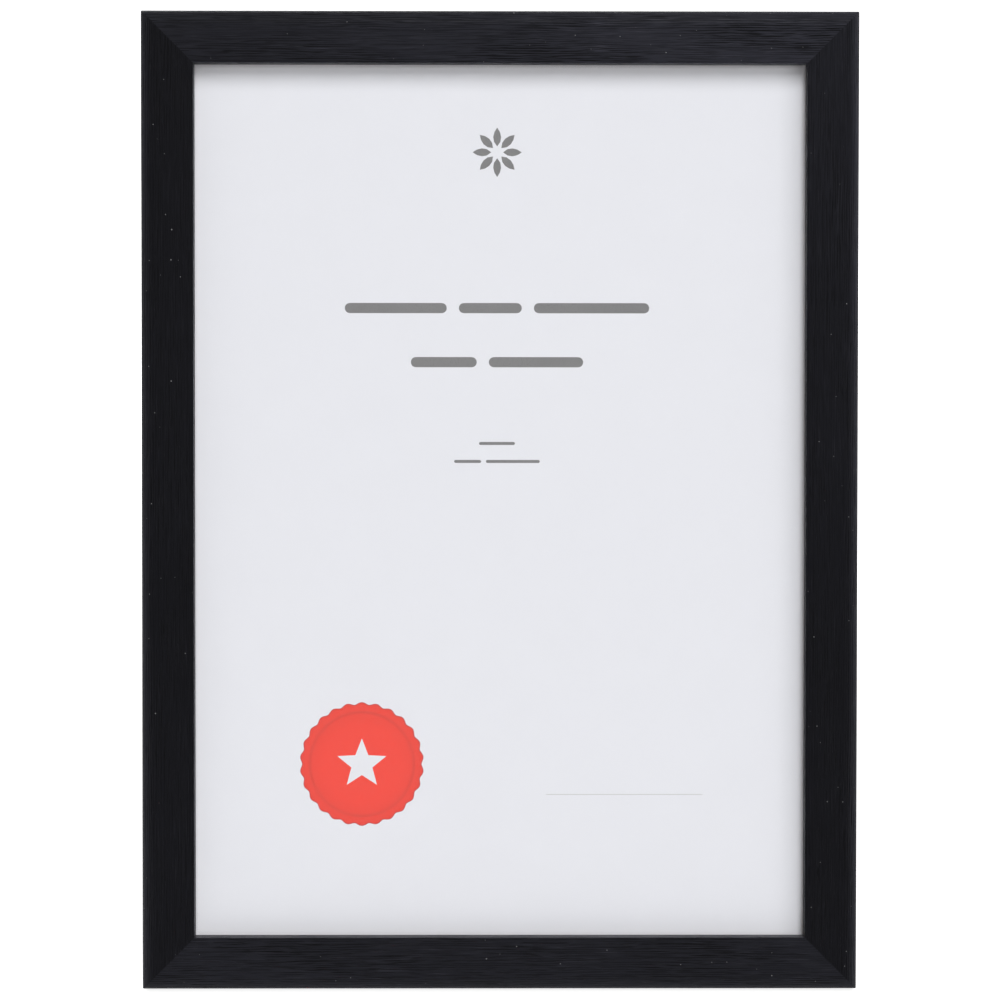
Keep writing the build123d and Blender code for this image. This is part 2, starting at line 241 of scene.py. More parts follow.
def button_places():
    """Name and place of each turn button, which is drawn with its nose up."""
    side, top = OUTER_WIDTH / 2 - SCREW_LINE, OUTER_HEIGHT - SCREW_LINE
    low, high = OUTER_HEIGHT / 2 - BUTTON_UP, OUTER_HEIGHT / 2 + BUTTON_UP
    return [
        ("bottom_left", turned(-BUTTON_ACROSS, SCREW_LINE, 0)),
        ("bottom_right", turned(BUTTON_ACROSS, SCREW_LINE, 0)),
        ("top_left", turned(-BUTTON_ACROSS, top, 180)),
        ("top_right", turned(BUTTON_ACROSS, top, 180)),
        ("left_lower", turned(-side, low, 90)),
        ("left_upper", turned(-side, high, 90)),
        ("right_lower", turned(side, low, -90)),
        ("right_upper", turned(side, high, -90)),
    ]


# Mesh building

def arc(centre, radius, start, end, steps):
    """Points along an arc, both ends included, with angles in degrees."""
    angles = [math.radians(start + (end - start) * i / steps) for i in range(steps + 1)]
    return [(centre[0] + radius * math.cos(a), centre[1] + radius * math.sin(a)) for a in angles]


def circle(radius, steps):
    """A clockwise circle, which is how a hole is given."""
    return arc((0, 0), radius, 0, -360, steps)[:-1]


def rectangle(width, height, centre=(0, 0)):
    """A counterclockwise rectangle."""
    w, h = width / 2, height / 2
    return [(centre[0] + x, centre[1] + z) for x, z in ((-w, -h), (w, -h), (w, h), (-w, h))]


def around(centre, radii):
    """Points round a centre, evenly spread and counterclockwise from the top."""
    turns = [2 * math.pi * i / len(radii) for i in range(len(radii))]
    return [(centre[0] - r * math.sin(a), centre[1] + r * math.cos(a)) for r, a in zip(radii, turns)]


def inset(loop, distance):
    """An outline moved to its left, so into the material for an outline or a hole."""
    result = []
    for i, here in enumerate(loop):
        here, before, after = Vector(here), Vector(loop[i - 1]), Vector(loop[(i + 1) % len(loop)])
        into, out = (here - before).normalized(), (after - here).normalized()
        normal = Vector((-into.y - out.y, into.x + out.x))
        result.append(tuple(here + normal * (2 * distance / max(normal.length_squared, SHARP_CORNER))))
    return result


def add_loop(bm, loop, depth, place):
    """One ring of vertices at a depth."""
    return [bm.verts.new(place @ Vector((x, depth, z))) for x, z in loop]


def add_skin(bm, rings, capped=True):
    """Faces between rings that follow each other, and over both ends."""
    for lower, upper in zip(rings, rings[1:]):
        for i, here in enumerate(lower):
            j = (i + 1) % len(lower)
            corners = [here, lower[j], upper[j], upper[i]]
            corners = [v for k, v in enumerate(corners) if v is not corners[k - 1]]
            if len(corners) > 2:
                bm.faces.new(corners)
    if capped:
        bm.faces.new(rings[0])
        bm.faces.new(rings[-1])


def add_prism(bm, loop, low, high, place):
    """A plain prism, as a tool for cutting."""
    add_skin(bm, [add_loop(bm, loop, depth, place) for depth in (low, high)])


def add_plate(bm, loops, low, high, ease, place, steps=3):
    """A plate from one outline and its holes, between two depths, with eased rims."""
    lower = arc((ease, low + ease), ease, 270, 180, steps)
    upper = [(back, high + low - depth) for back, depth in reversed(lower)]
    caps = {low: [], high: []}
    for loop in loops:
        rings = [add_loop(bm, inset(loop, back), depth, place) for back, depth in lower + upper]
        add_skin(bm, rings, capped=False)
        for depth, ring in ((low, rings[0]), (high, rings[-1])):
            caps[depth] += [bm.edges.get((a, b)) for a, b in zip(ring, ring[1:] + ring[:1])]
    for edges in caps.values():
        bmesh.ops.triangle_fill(bm, use_beauty=True, use_dissolve=False, edges=edges)


def add_turned(bm, profile, segments, place):
    """A solid turned about the depth axis from (radius, depth) points that end on the axis."""
    rings = []
    for radius, depth in profile:
        if radius == 0:
            rings.append([bm.verts.new(place @ Vector((0, depth, 0)))] * segments)
        else:
            rings.append(add_loop(bm, circle(radius, segments), depth, place))
    add_skin(bm, rings, capped=False)


def add_wire(bm, path, radius, segments, place):
    """A round wire along points in the plane of the frame, with softly rounded ends."""
    depth = Vector((0, 1, 0))
    points = [Vector((x, 0, z)) for x, z in path]
    ahead = [(b - a).normalized() for a, b in zip(points, points[1:])]
    ahead = [ahead[0]] + [(a + b).normalized() for a, b in zip(ahead, ahead[1:])] + [ahead[-1]]
    nose_share = 0.3
    nose = [
        (nose_share * radius * (1 - math.sin(t)), radius * (1 - nose_share * (1 - math.cos(t))))
        for t in (math.pi / 2 * 0.999, math.pi / 4, math.pi / 8)
    ]
    stations = [(points[0] + ahead[0] * back, ahead[0], size) for back, size in nose]
    stations += [(point, along, radius) for point, along in zip(points[1:-1], ahead[1:-1])]
    stations += [(points[-1] - ahead[-1] * back, ahead[-1], size) for back, size in reversed(nose)]
    section = arc((0, 0), 1.0, 0, 360, segments)[:-1]
    rings = []
    for point, along, size in stations:
        side = depth.cross(along).normalized()
        rings.append([bm.verts.new(place @ (point + (side * x + depth * y) * size)) for x, y in section])
    add_skin(bm, rings)


def fillet_path(points, radius, steps):
    """An open path whose inner corners are rounded."""
    path = [points[0]]
    for before, here, after in zip(points, points[1:], points[2:]):
        here = Vector(here)
        into, out = (here - Vector(before)).normalized(), (Vector(after) - here).normalized()
        turn = out.angle_signed(into)
        side = Vector((-into.y, into.x)) * math.copysign(radius, turn)
        centre = here - into * (radius * math.tan(abs(turn) / 2)) + side
        spins = [Matrix.Rotation(turn * i / steps, 2) for i in range(steps + 1)]
        path += [tuple(centre - spin @ side) for spin in spins]
    return path + [points[-1]]


def dome(radius, rim, top, steps):
    """A round head's profile from its rim to the axis."""
    rise = top - rim
    ball = (radius**2 + rise**2) / (2 * rise)
    half = math.asin(radius / ball)
    angles = [half * (1 - i / steps) for i in range(1, steps)]
    bulge = [(ball * math.sin(a), top - ball + ball * math.cos(a)) for a in angles]
    return [(radius, rim)] + bulge + [(0, top)]


def lay_by_box(bm):
    """Gives each face a lay from its main direction, in metres."""
    lay = bm.loops.layers.uv.verify()
    for face in bm.faces:
        drop = max(range(3), key=lambda i: abs(face.normal[i]))
        for loop in face.loops:
            loop[lay].uv = [loop.vert.co[i] for i in range(3) if i != drop]


def object_from(name, bm, finishes):
    """An object in the scene from a mesh in the making, which it uses up."""
    bmesh.ops.recalc_face_normals(bm, faces=bm.faces)
    mesh = bpy.data.meshes.new(name)
    bm.to_mesh(mesh)
    bm.free()
    for look in finishes:
        mesh.materials.append(look)
    made = bpy.data.objects.new(name, mesh)
    bpy.context.scene.collection.objects.link(made)
    return made


def make_piece(name, bm, body, finishes, nodes, laid=False):
    """Makes an object from a mesh in the making, and joins it to the frame."""
    if not laid:
        bmesh.ops.recalc_face_normals(bm, faces=bm.faces)
        lay_by_box(bm)
    piece = object_from(name, bm, finishes)
    piece.data.shade_smooth()
    piece.data.set_sharp_from_angle(angle=math.radians(30))
    piece.modifiers.new("weighted normals", "WEIGHTED_NORMAL").keep_sharp = True
    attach(piece, body)
    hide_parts(*nodes)


def cut_away(bm, cutter, finishes):
    """The mesh less the cutter, whose faces give the cut its finish."""
    whole, tool = object_from("uncut", bm, finishes), object_from("cutter", cutter, finishes)
    cut = whole.modifiers.new("cut", "BOOLEAN")
    cut.operation, cut.solver, cut.object = "DIFFERENCE", "EXACT", tool
    bpy.context.view_layer.update()
    left = whole.evaluated_get(bpy.context.evaluated_depsgraph_get()).to_mesh()
    if len(left.polygons) <= len(whole.data.polygons) // 2:
        raise RuntimeError("a cut took too much away")
    result = bmesh.new()
    result.from_mesh(left)
    for each in (whole, tool):
        mesh = each.data
        bpy.data.objects.remove(each)
        bpy.data.meshes.remove(mesh)
    return result


def make_eased(name, node, ease, body, look):
    """Makes a piece from a copy of a node's mesh whose sharp edges are rounded."""
    bm = bmesh.new()
    bm.from_mesh(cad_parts[node].data)
    bmesh.ops.remove_doubles(bm, verts=bm.verts, dist=1e-6)
    bmesh.ops.dissolve_limit(bm, angle_limit=math.radians(1), verts=bm.verts, edges=bm.edges)
    sharp = math.radians(35)
    edges = [e for e in bm.edges if len(e.link_faces) == 2 and e.calc_face_angle() > sharp]
    bmesh.ops.bevel(
        bm, geom=edges, offset=ease, segments=2, profile=0.5, affect="EDGES", clamp_overlap=True)
    make_piece(name, bm, body, [look], [node])


# Node building

def add_node(tree, kind, inputs=None, **settings):
    """A node whose inputs are values or other nodes' sockets."""
    node = tree.nodes.new(kind)
    for key, value in settings.items():
        setattr(node, key, value)
    for key, value in (inputs or {}).items():
        if isinstance(value, bpy.types.NodeSocket):
            tree.links.new(value, node.inputs[key])
        else:
            node.inputs[key].default_value = value
    return node


def calc(tree, operation, *values):
    """A Math node's result."""
    return add_node(tree, "ShaderNodeMath", dict(enumerate(values)), operation=operation).outputs[0]


def times(tree, first, second):
    """A product."""
    return calc(tree, "MULTIPLY", first, second)


def plus(tree, value, factor, added):
    """A product with something added to it."""
    return calc(tree, "MULTIPLY_ADD", value, factor, added)


def ranged(tree, value, low, high, to_low=0.0, to_high=1.0):
    """A value carried from one range to another, and held there."""
    names = ("Value", "From Min", "From Max", "To Min", "To Max")
    inputs = dict(zip(names, (value, low, high, to_low, to_high)))
    return add_node(tree, "ShaderNodeMapRange", inputs).outputs["Result"]


def blended(tree, share, first, second, how="MIX"):
    """One colour blended with another."""
    inputs = {0: share, 6: first, 7: second}
    return add_node(tree, "ShaderNodeMix", inputs, data_type="RGBA", blend_type=how).outputs[2]


def stained(tree, base, mask, share, stain):
    """A colour with a share of another one where the mask is."""
    return blended(tree, times(tree, mask, share), base, stain)


def opaque(colour, factor=1.0):
    """A property's colour as four numbers, lighter or darker by a factor."""
    return tuple(min(1.0, c * factor) for c in colour) + (1.0,)


def noise(tree, vector, detail, scale=1.0, **more):
    """Smooth noise."""
    inputs = {"Vector": vector, "Scale": scale, "Detail": detail, **more}
    return add_node(tree, "ShaderNodeTexNoise", inputs).outputs["Fac"]


def scaled(tree, vector, factors):
    """Coordinates scaled by a factor for each axis."""
    return add_node(tree, "ShaderNodeVectorMath", {0: vector, 1: factors}, operation="MULTIPLY").outputs[0]


def stretched(tree, vector, along, across):
    """Coordinates in units of so many metres along and across."""
    return scaled(tree, vector, (1 / along, 1 / across, 1 / across))


def distance(tree, vector, point):
    """How far coordinates are from a point."""
    inputs = {0: vector, 1: point}
    return add_node(tree, "ShaderNodeVectorMath", inputs, operation="DISTANCE").outputs["Value"]


def parts_of(tree, vector):
    """The three numbers of a vector, by name."""
    return add_node(tree, "ShaderNodeSeparateXYZ", {"Vector": vector}).outputs


def coordinates(tree, output):
    """Texture coordinates of one kind."""
    return add_node(tree, "ShaderNodeTexCoord").outputs[output]


def seen_by_eye(tree):
    """One for rays from the camera, also by way of glass or metal."""
    ways = add_node(tree, "ShaderNodeLightPath").outputs
    mirrored = calc(tree, "MAXIMUM", ways["Is Glossy Ray"], ways["Is Transmission Ray"])
    return calc(tree, "MAXIMUM", ways["Is Camera Ray"], mirrored)


def show(tree, surface):
    """Makes a shader the one that the material ends in."""
    output = next(n for n in tree.nodes if n.type == "OUTPUT_MATERIAL")
    tree.links.new(surface.outputs[0], output.inputs["Surface"])


def dress(tree, shader, base, rough, height, relief, **levels):
    """Gives a shader its colour, its roughness, its relief in metres and some plain values."""
    bump = add_node(tree, "ShaderNodeBump", {"Height": height, "Distance": relief})
    for key, socket in (("Base Color", base), ("Roughness", rough), ("Normal", bump.outputs[0])):
        tree.links.new(socket, shader.inputs[key])
    for key, value in levels.items():
        shader.inputs[key.replace("_", " ")].default_value = value


def shader_group(name, inputs, outputs):
    """Turns what draws a group's inside into what places the group, which is made only once."""

    def fill(draw):
        def place(tree, vector, *values):
            group = bpy.data.node_groups.get(name)
            if group is None:
                group = bpy.data.node_groups.new(name, "ShaderNodeTree")
                group.interface.new_socket("Vector", in_out="INPUT", socket_type="NodeSocketVector")
                for label, value in inputs.items():
                    socket = group.interface.new_socket(
                        label, in_out="INPUT", socket_type="NodeSocketFloat")
                    socket.default_value = value
                for label in outputs:
                    group.interface.new_socket(
                        label, in_out="OUTPUT", socket_type="NodeSocketFloat")
                source, sink = group.nodes.new("NodeGroupInput"), group.nodes.new("NodeGroupOutput")
                for label, value in zip(outputs, draw(group, source.outputs)):
                    group.links.new(value, sink.inputs[label])
            given = {"Vector": vector, **dict(zip(inputs, values))}
            found = add_node(tree, "ShaderNodeGroup", given, node_tree=group).outputs
            return found[0] if len(outputs) == 1 else list(found)

        return place

    return fill


def finish(build):
    """Lets a finish be built once, and found by its name after that."""

    def find(name, *values, **named):
        if name not in bpy.data.materials:
            material = bpy.data.materials.new(name)
            material.use_nodes = True
            tree = material.node_tree
            tree.nodes.clear()
            shader = add_node(tree, "ShaderNodeBsdfPrincipled")
            add_node(tree, "ShaderNodeOutputMaterial", {"Surface": shader.outputs[0]})
            build(tree, shader, *values, **named)
        return bpy.data.materials[name]

    return find


# Patterns

@shader_group("Raised grain", {"Pitch": 0.78 * MM, "Wander": 2.0 * MM}, ["Height", "Streak"])
def raised_grain(group, source):
    """Nearly parallel, broken grooves like open wood grain, which run along the first coordinate."""
    vector = source["Vector"]

    def layer(along, across, detail=1.0, where=vector):
        return noise(group, stretched(group, where, along * MM, across * MM), detail)

    slow = calc(group, "SUBTRACT", layer(80, 10), 0.5)
    shake = calc(group, "SUBTRACT", layer(20, 1.8, 2.0), 0.5)
    drift = times(group, plus(group, shake, 0.25, slow), source["Wander"])
    split = parts_of(group, vector)
    across = calc(group, "ADD", split["Y"], drift)
    bent = add_node(group, "ShaderNodeCombineXYZ", {"X": split["X"], "Y": across}).outputs[0]
    turns = times(group, calc(group, "DIVIDE", across, source["Pitch"]), 2 * math.pi)
    uneven = plus(group, layer(28, 1.5, where=bent), 8.0, turns)
    valley = ranged(group, calc(group, "SINE", uneven), 0.05, -0.65)
    kept = ranged(group, layer(11, 0.6, where=bent), 0.39, 0.49)
    hair = ranged(group, layer(8, 0.3, 2.0, bent), 0.53, 0.64, 0.0, 0.8)
    groove = calc(group, "MAXIMUM", times(group, valley, kept), hair)
    deep = ranged(group, layer(45, 9, 2.0), 0.35, 0.62, 0.4, 1.0)
    height = calc(group, "SUBTRACT", 1.0, times(group, groove, deep))
    crest = ranged(group, layer(15, 0.38, where=bent), 0.58, 0.74)
    return height, times(group, crest, height)


def specks(dimensions):
    """Scattered small specks, such as dust; in two dimensions they lie on the surface's lay."""

    @shader_group("Specks " + dimensions, {"Spacing": 3 * MM, "Size": 0.1 * MM, "Share": 0.1}, ["Mask"])
    def scatter(group, source):
        scale = calc(group, "DIVIDE", 1.0, source["Spacing"])
        inputs = {"Vector": source["Vector"], "Scale": scale}
        cells = add_node(group, "ShaderNodeTexVoronoi", inputs, voronoi_dimensions=dimensions).outputs
        tint = add_node(group, "ShaderNodeSeparateColor", {"Color": cells["Color"]}).outputs
        reach = times(group, times(group, source["Size"], scale), plus(group, tint["Green"], 0.8, 0.4))
        inside = calc(group, "LESS_THAN", cells["Distance"], reach)
        chosen = calc(group, "LESS_THAN", tint["Red"], source["Share"])
        return [times(group, times(group, inside, chosen), plus(group, tint["Blue"], 0.6, 0.4))]

    return scatter


@shader_group("Fine scratches", {"Length": 14 * MM, "Share": 0.3}, ["Mask"])
def scratches(group, source):
    """Sparse fine scratches in two directions."""
    masks = []
    for degrees, seed in ((12.0, 0.0), (-63.0, 7.3)):
        turn = add_node(group, "ShaderNodeVectorRotate", {
            "Vector": source["Vector"], "Angle": math.radians(degrees), "Center": (seed, seed, 0),
        }, rotation_type="Z_AXIS").outputs[0]
        pulled = scaled(group, turn, (1.0, 30.0, 1.0))
        wave = noise(group, pulled, 1.0, calc(group, "DIVIDE", 1.0, source["Length"]))
        line = calc(group, "LESS_THAN", calc(group, "ABSOLUTE", calc(group, "SUBTRACT", wave, 0.5)), 0.0035)
        where = noise(group, turn, 2.0, calc(group, "DIVIDE", 0.7, source["Length"]))
        limit = calc(group, "SUBTRACT", 0.75, times(group, source["Share"], 0.4))
        masks.append(times(group, line, calc(group, "GREATER_THAN", where, limit)))
    return [calc(group, "MAXIMUM", *masks)]


@shader_group("Mottle", {"Patch": 12 * MM, "Tooth": 0.5 * MM}, ["Patches", "Fine"])
def mottle(group, source):
    """Soft uneven patches with a fine tooth over them."""
    return [
        ranged(group, noise(
            group, source["Vector"], detail, calc(group, "DIVIDE", 1.0, source[label])), 0.3, 0.7)
        for label, detail in (("Patch", 3.0), ("Tooth", 2.0))
    ]


@shader_group("Drawn lines", {"Length": 9 * MM, "Width": 0.12 * MM}, ["Lines"])
def drawn_lines(group, source):
    """Fine parallel lines left by rolling or drawing, along the first coordinate."""
    split = parts_of(group, source["Vector"])
    joined = add_node(group, "ShaderNodeCombineXYZ", {
        axis: calc(group, "DIVIDE", split[axis], source[label])
        for axis, label in (("X", "Length"), ("Y", "Width"), ("Z", "Width"))
    })
    return [ranged(group, noise(group, joined.outputs[0], 2.0), 0.3, 0.7)]


# Finishes

@finish
def foil_finish(tree, shader, colours, sizes, painted_light_factor, valley, sheen, shoulder_highlight_strength):
    """Black foil with a raised grain, a little dust and a painted highlight along the outer shoulder.

    Painted light also makes it lighter towards the frame's upper right corner and darker away
    from it, under a random drift in tone. The grain's dark grooves and light crests are its own
    tone with painted shade and a painted highlight on them.
    """
    lay = coordinates(tree, "UV")
    grain, streak = raised_grain(tree, lay, sizes.grain_pitch, 2 * MM)
    dust = specks("2D")(tree, lay, 5 * MM, 0.18 * MM, 0.14)
    patches, fine = mottle(tree, lay, 30 * MM, 0.3 * MM)
    height = parts_of(tree, lay)["Y"]
    # A painted highlight along the outer shoulder, stronger on the upright rails
    start = sizes.foil_return + RAIL_BACK - sizes.shoulder_depth
    shoulder_highlight_mask = times(tree, ranged(tree, height, start, start + 1.6 * MM), ranged(
        tree, height, start + 4.8 * MM, start + 2.0 * MM, 0.0, shoulder_highlight_strength))
    crests = blended(tree, shoulder_highlight_mask, opaque(colours.foil, painted_light_factor), opaque(colours.foil, 1.25))
    # Painted shade darkens the grooves and a painted highlight lightens the crests, over the grain's own
    # tone
    base = blended(tree, grain, opaque(colours.foil, valley * painted_light_factor), crests)
    painted_crest_highlight = times(tree, streak, ranged(tree, patches, 0.2, 0.9, 0.2, 1.0))
    base = blended(tree, painted_crest_highlight, base, opaque(colours.foil_crest_highlight, painted_light_factor))
    # Painted light: the foil is lighter towards the frame's upper right corner and darker away from it, as
    # the light falls; the cloud adds a random drift in tone
    corner = STANDING @ Vector((OUTER_WIDTH / 2, 0, OUTER_HEIGHT))
    painted_corner_light = ranged(tree, distance(tree, coordinates(tree, "Object"), corner), 0.0, 0.22, 1.62, 0.8)
    cloud = noise(tree, stretched(tree, lay, 110 * MM, 40 * MM), 1.0)
    uneven = times(tree, painted_corner_light, ranged(tree, cloud, 0.35, 0.65, 0.92, 1.1))
    base = blended(tree, 1.0, base, uneven, "MULTIPLY")
    base = blended(tree, dust, base, opaque(colours.dust))
    rough = plus(tree, grain, -0.05, ranged(tree, patches, 0.0, 1.0, 0.36, 0.44))
    rough = calc(tree, "MAXIMUM", rough, times(tree, dust, 0.9))
    relief = plus(tree, dust, 0.6, plus(tree, fine, 0.05, grain))
    dress(tree, shader, base, rough, relief, 0.14 * MM, Specular_IOR_Level=0.03, Sheen_Weight=sheen,
          Sheen_Roughness=0.58, Sheen_Tint=(0.86, 0.86, 1.0, 1))


@finish
def core_finish(tree, shader, colour):
    """Raw board of the moulding where the foil ends."""
    lay = coordinates(tree, "Object")
    patches, fine = mottle(tree, lay, 6 * MM, 0.25 * MM)
    flecks = specks("3D")(tree, lay, 0.9 * MM, 0.22 * MM, 0.35)
    base = blended(tree, patches, opaque(colour, 0.86), opaque(colour, 1.08))
    base = stained(tree, base, fine, 0.35, opaque(colour, 0.62))
    base = stained(tree, base, flecks, 0.5, opaque(colour, 0.4))
    rough = ranged(tree, fine, 0.0, 1.0, 0.75, 0.95)
    dress(tree, shader, base, rough, fine, 0.06 * MM, Specular_IOR_Level=0.3)


@finish
def hardboard_finish(tree, shader, colour):
    """Smooth brown hardboard with fine fibres."""
    lay = coordinates(tree, "Object")
    patches, fine = mottle(tree, lay, 28 * MM, 0.35 * MM)
    fibres = noise(
        tree, stretched(tree, lay, 4.0 * MM, 0.5 * MM), 4.0, Roughness=0.65, Distortion=1.6)
    threads = ranged(tree, fibres, 0.52, 0.7)
    flecks = specks("3D")(tree, lay, 2.4 * MM, 0.5 * MM, 0.35)
    base = blended(tree, patches, opaque(colour, 0.84), opaque(colour, 1.14))
    for mask, share, factor in ((threads, 0.5, 2.0), (flecks, 0.75, 0.4), (fine, 0.25, 0.7)):
        base = stained(tree, base, mask, share, opaque(colour, factor))
    rough = ranged(tree, patches, 0.0, 1.0, 0.5, 0.62)
    dress(tree, shader, base, rough, plus(tree, threads, 0.5, fine), 0.03 * MM, Specular_IOR_Level=0.35)


@finish
def card_finish(tree, shader, colour):
    """Plain grey card."""
    patches, fine = mottle(tree, coordinates(tree, "Object"), 4 * MM, 0.2 * MM)
    base = blended(tree, patches, opaque(colour, 0.9), opaque(colour, 1.06))
    base = stained(tree, base, fine, 0.3, opaque(colour, 0.75))
    dress(tree, shader, base, ranged(tree, fine, 0.0, 1.0, 0.8, 0.95), fine, 0.03 * MM)


@finish
def paper_finish(tree, shader, colour, change):
    """Smooth card, plain or printed, with a faint tooth."""
    patches, fine = mottle(tree, coordinates(tree, "UV"), 18 * MM, 0.22 * MM)
    share = plus(tree, fine, 0.6, times(tree, patches, 0.4))
    base = blended(tree, share, opaque(colour), opaque(colour, change))
    rough = ranged(tree, fine, 0.0, 1.0, 0.55, 0.68)
    dress(tree, shader, base, rough, fine, 0.012 * MM, Specular_IOR_Level=0.2)


@finish
def seal_finish(tree, shader, colours, sizes):
    """Red print that deepens towards a ring and again at the scallops."""
    lay = coordinates(tree, "UV")
    away = distance(tree, lay, (*SEAL_CENTRE, 0))
    ramp = add_node(tree, "ShaderNodeValToRGB", {"Fac": calc(tree, "DIVIDE", away, sizes.seal_radius)})
    red, ring = colours.seal, colours.seal_ring
    stops = [(0.0, red, 1.0), (0.62, red, 1.0), (0.80, red, 0.94), (0.83, ring, 1.0),
             (0.85, ring, 1.0), (0.87, red, 0.945), (0.93, red, 0.92), (1.0, red, 0.88)]
    while len(ramp.color_ramp.elements) < len(stops):
        ramp.color_ramp.elements.new(0.5)
    for element, (position, colour, factor) in zip(ramp.color_ramp.elements, stops):
        element.position, element.color = position, opaque(colour, factor)
    fine = mottle(tree, lay, 9 * MM, 0.2 * MM)[1]
    grain = ranged(tree, fine, 0.0, 1.0, 0.0, 0.07)
    base = blended(tree, grain, ramp.outputs["Color"], opaque(ring, 0.8))
    rough = ranged(tree, fine, 0.0, 1.0, 0.45, 0.55)
    dress(tree, shader, base, rough, fine, 0.01 * MM, Specular_IOR_Level=0.15)


@finish
def glass_finish(tree, shader, colour):
    """Clear float glass that lets the lamps' light through, unevenly smooth."""
    for key, value in (("Base Color", opaque(colour)), ("Transmission Weight", 1.0), ("IOR", 1.42)):
        shader.inputs[key].default_value = value
    patches = mottle(tree, coordinates(tree, "Object"), 40 * MM, 1.5 * MM)[0]
    tree.links.new(ranged(tree, patches, 0.0, 1.0, 0.0, 0.012), shader.inputs["Roughness"])
    ways = add_node(tree, "ShaderNodeLightPath").outputs
    soft = calc(tree, "MAXIMUM", ways["Is Shadow Ray"], ways["Is Diffuse Ray"])
    clear = add_node(tree, "ShaderNodeBsdfTransparent", {"Color": opaque(colour)})
    show(tree, add_node(tree, "ShaderNodeMixShader", {0: soft, 1: shader.outputs[0], 2: clear.outputs[0]}))


@finish
def steel_finish(tree, shader, colour, rough, length, width, tarnish=0.25):
    """Plated or plain steel with drawn lines, uneven plating and fine scratches."""
    lay = coordinates(tree, "Object")
    lines = drawn_lines(tree, lay, length, width)
    patches = mottle(tree, lay, 2.6 * MM, 0.18 * MM)[0]
    marks = scratches(tree, lay, 5 * MM, 0.6)
    warm = tuple(c * tint for c, tint in zip(colour, (1.0, 0.97, 0.9))) + (1.0,)
    base = stained(tree, opaque(colour), patches, tarnish, warm)
    base = stained(tree, base, lines, 0.4, opaque(colour, 0.6))
    value = ranged(tree, patches, 0.0, 1.0, rough - 0.05, rough + 0.07)
    value = plus(tree, marks, 0.12, plus(tree, lines, 0.07, value))
    dress(tree, shader, base, value, plus(tree, marks, -0.6, lines), 0.006 * MM, Metallic=1.0)


def zinc(colours):
    """Zinc-plated sheet steel."""
    return steel_finish("zinc_plated_sheet", colours.zinc, 0.34, 7 * MM, 0.11 * MM)


def bright(colours):
    """Bright rivets and pins."""
    return steel_finish("bright_rivet_steel", colours.bright, 0.22, 1.2 * MM, 0.2 * MM, tarnish=0.12)


@finish
def table_finish(tree, shader):
    """Pale table top that is seen as white, but for a shadow near the frame."""
    place = coordinates(tree, "Object")
    patches = mottle(tree, place, 0.25, 1.2 * MM)[0]
    base = blended(tree, patches, (0.80, 0.80, 0.805, 1), (0.825, 0.825, 0.825, 1))
    tree.links.new(base, shader.inputs["Base Color"])
    shader.inputs["Roughness"].default_value = 0.9
    shader.inputs["Specular IOR Level"].default_value = 0.1
    # Painted light: the glow for rays from the eye is weaker near the frame, so that its shadow shows
    # there, and stronger in front of it and far away, which lifts the far floor and washes out the shadow
    # in front
    away = ranged(tree, distance(tree, place, (0, 0, 0)), 0.12, 0.7, 0.6, 1.0)
    ahead = ranged(tree, parts_of(tree, place)["Y"], 0.0, -0.055, 0.6, 0.86)
    lift = times(tree, seen_by_eye(tree), calc(tree, "MAXIMUM", away, ahead))
    glow = add_node(tree, "ShaderNodeEmission", {"Color": (1, 1, 1, 1), "Strength": lift})
    show(tree, add_node(tree, "ShaderNodeAddShader", {0: shader.outputs[0], 1: glow.outputs[0]}))


# Moulding

def moulding_profile(sizes):
    """The section as (depth, distance from the outer edge, foil or core), round its outline."""
    soft = 0.3 * MM
    points = [(RAIL_BACK, sizes.foil_return, 0), (RAIL_BACK, soft, 0)]
    points += [(y, w, 0) for w, y in arc((soft, RAIL_BACK - soft), soft, 90, 180, 4)][1:]
    wide, deep = sizes.shoulder_width, sizes.shoulder_depth
    points += [(deep * v, wide * u, 0) for u, v in arc((1, 1), 1, 180, 270, 22)]
    face_end = RAIL_WIDTH - sizes.arris
    for i in range(1, 13):
        share = i / 12
        points.append((sizes.inner_drop * share**2, wide + (face_end - wide) * share, 0))
    low = sizes.inner_drop + sizes.arris
    points += [(y, w, 0) for w, y in arc((face_end, low), sizes.arris, -90, 0, 6)][1:]
    corners = (LIP_BACK, RAIL_WIDTH), (LIP_BACK, REBATE_WALL), (RAIL_BACK, REBATE_WALL)
    return points + [(*corner, 1) for corner in corners]


def rounded_corner(x, w, half, reach):
    """A point near the end of an outer edge, pulled onto the corner's rounding."""
    radius = reach * max(0.0, 1 - w / (3 * reach)) if w >= 0 else reach
    near_x, near_w = half - w - radius, w + radius
    over = abs(x) - near_x
    if radius <= 0 or over <= 0:
        return x, w
    length = math.hypot(over, radius)
    return math.copysign(near_x + over * radius / length, x), near_w - radius * radius / length


def sunk_profile(profile, depth):
    """The section with its visible part moved inwards, as it is at the mitre's fine line."""
    sunk = []
    for i, (y, w, _) in enumerate(profile):
        before, after = profile[i - 1], profile[(i + 1) % len(profile)]
        into = Vector((after[0] - before[0], after[1] - before[1])).normalized()
        move = depth if y < LIP_BACK and w < RAIL_WIDTH + MM else 0.0
        sunk.append((y + into.y * move, w - into.x * move, 0))
    return sunk


